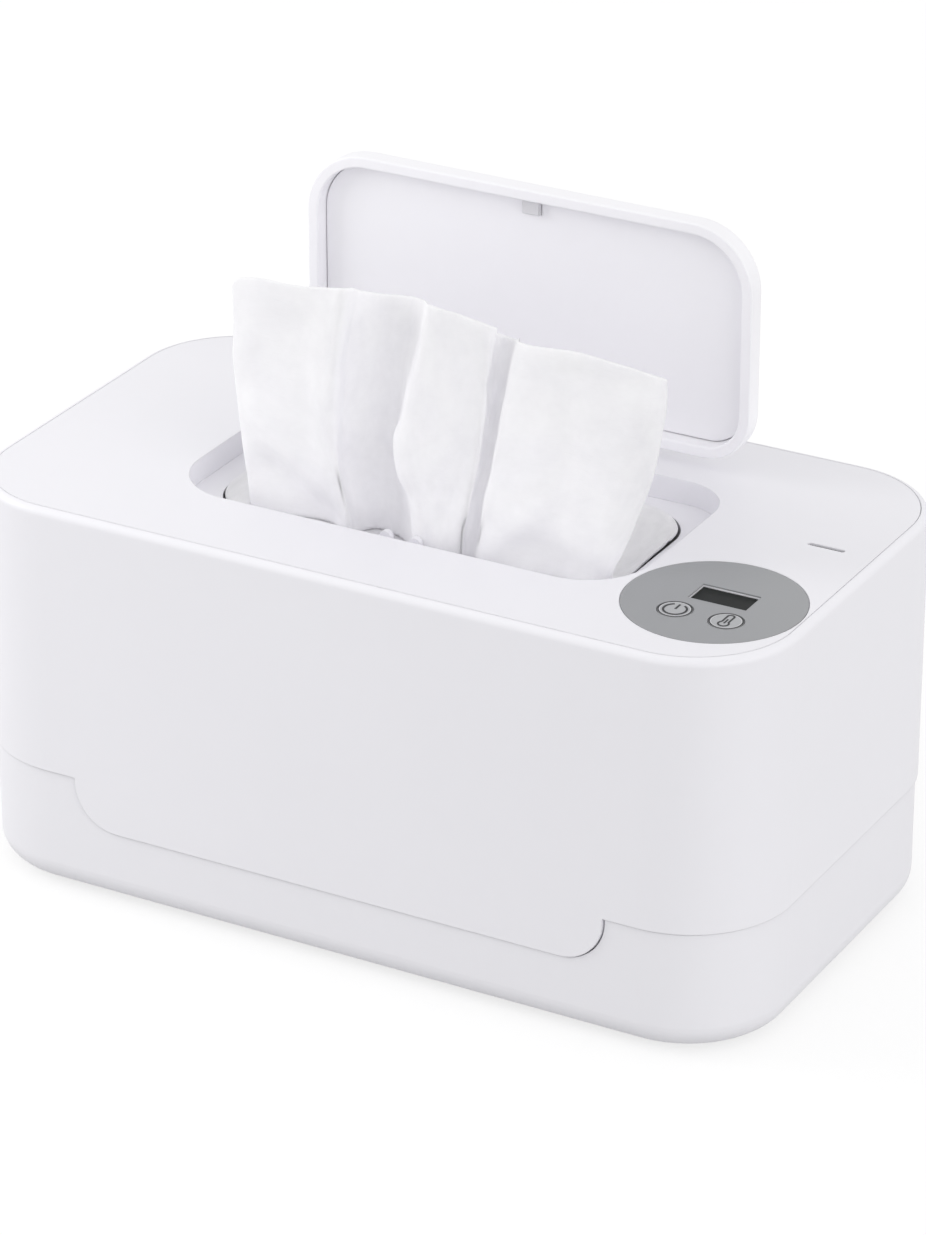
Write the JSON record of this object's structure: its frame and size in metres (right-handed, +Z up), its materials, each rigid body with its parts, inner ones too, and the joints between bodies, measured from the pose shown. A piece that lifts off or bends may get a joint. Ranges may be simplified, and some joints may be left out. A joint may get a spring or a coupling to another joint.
{
  "type": "baby wipe warmer",
  "caption": "Low rounded box that keeps wet wipes warm: lift-off heated housing with a flip-up lid and round control panel on a shallow base tray.",
  "frame": {"origin": "middle of the footprint, on the surface that the feet stand on", "axes": "+X to the control panel's end, +Y to the hinge side, +Z up"},
  "size_m": [0.225, 0.124, 0.1745],
  "materials": {
    "white_housing": "fine satin moulded white",
    "white_base": "fine satin moulded white",
    "white_lid": "smooth moulded white",
    "inner_plastic": "moulded, light grey",
    "clear_rubber": "soft grey rubber",
    "grey_panel": "satin silver grey film",
    "dark_window": "glossy smoked window",
    "black_plastic": "moulded black",
    "circuit_board": "green solder mask",
    "heater_aluminium": "rolled aluminium",
    "heating_film": "amber film",
    "insulation": "pressed felt",
    "steel": "zinc plated",
    "red_lead": "silicone wire",
    "white_lead": "silicone wire",
    "yellow_lead": "silicone wire",
    "wipe_cloth": "soft damp non-woven"
  },
  "bodies": {
    "base": {"base_tray": "white_base", "rubber_feet": "clear_rubber", "wipe_stack": "wipe_cloth"},
    "housing": {"sleeve": "white_housing", "top_cover": "white_housing", "opening_frame": "white_housing", "inner_cover": "inner_plastic", "cover_screws": "steel", "heater_plate": "heater_aluminium", "heating_film": "heating_film", "insulation_pad": "insulation", "heater_screws": "steel", "thermal_cutout": "steel", "temperature_sensor": "black_plastic", "hinge_pins": "steel", "control_overlay": "grey_panel", "display_window": "dark_window", "display_module": "black_plastic", "tact_switches": "black_plastic", "control_board": "circuit_board", "board_components": "black_plastic", "board_screws": "steel", "indicator_lens": "dark_window", "indicator_lamp": "circuit_board", "power_socket": "black_plastic", "socket_nut": "steel", "power_leads": "red_lead", "heater_leads": "white_lead", "sensor_leads": "yellow_lead", "raised_wipe": "wipe_cloth"},
    "lid": {"lid_shell": "white_lid", "lid_liner": "white_lid", "lid_catch": "white_lid"},
    "power_key": {"power_button": "grey_panel", "power_plunger": "black_plastic"},
    "temperature_key": {"temperature_button": "grey_panel", "temperature_plunger": "black_plastic"}
  },
  "joints": [
    {"name": "housing_lift", "type": "slide", "parent": "base", "child": "housing", "axis": [0, 0, 1], "range_m": [0, 0.09]},
    {"name": "lid_hinge", "type": "hinge", "parent": "housing", "child": "lid", "pos_m": [0, 0.0383, 0.1026], "axis": [1, 0, 0], "range_deg": [0, 90], "deforming": ["raised_wipe"]},
    {"name": "power_button_press", "type": "slide", "parent": "housing", "child": "power_key", "axis": [0, 0, -1], "range_m": [0, 0.0004], "stiffness_N_per_m": 800},
    {"name": "temperature_button_press", "type": "slide", "parent": "housing", "child": "temperature_key", "axis": [0, 0, -1], "range_m": [0, 0.0004], "stiffness_N_per_m": 800}
  ]
}
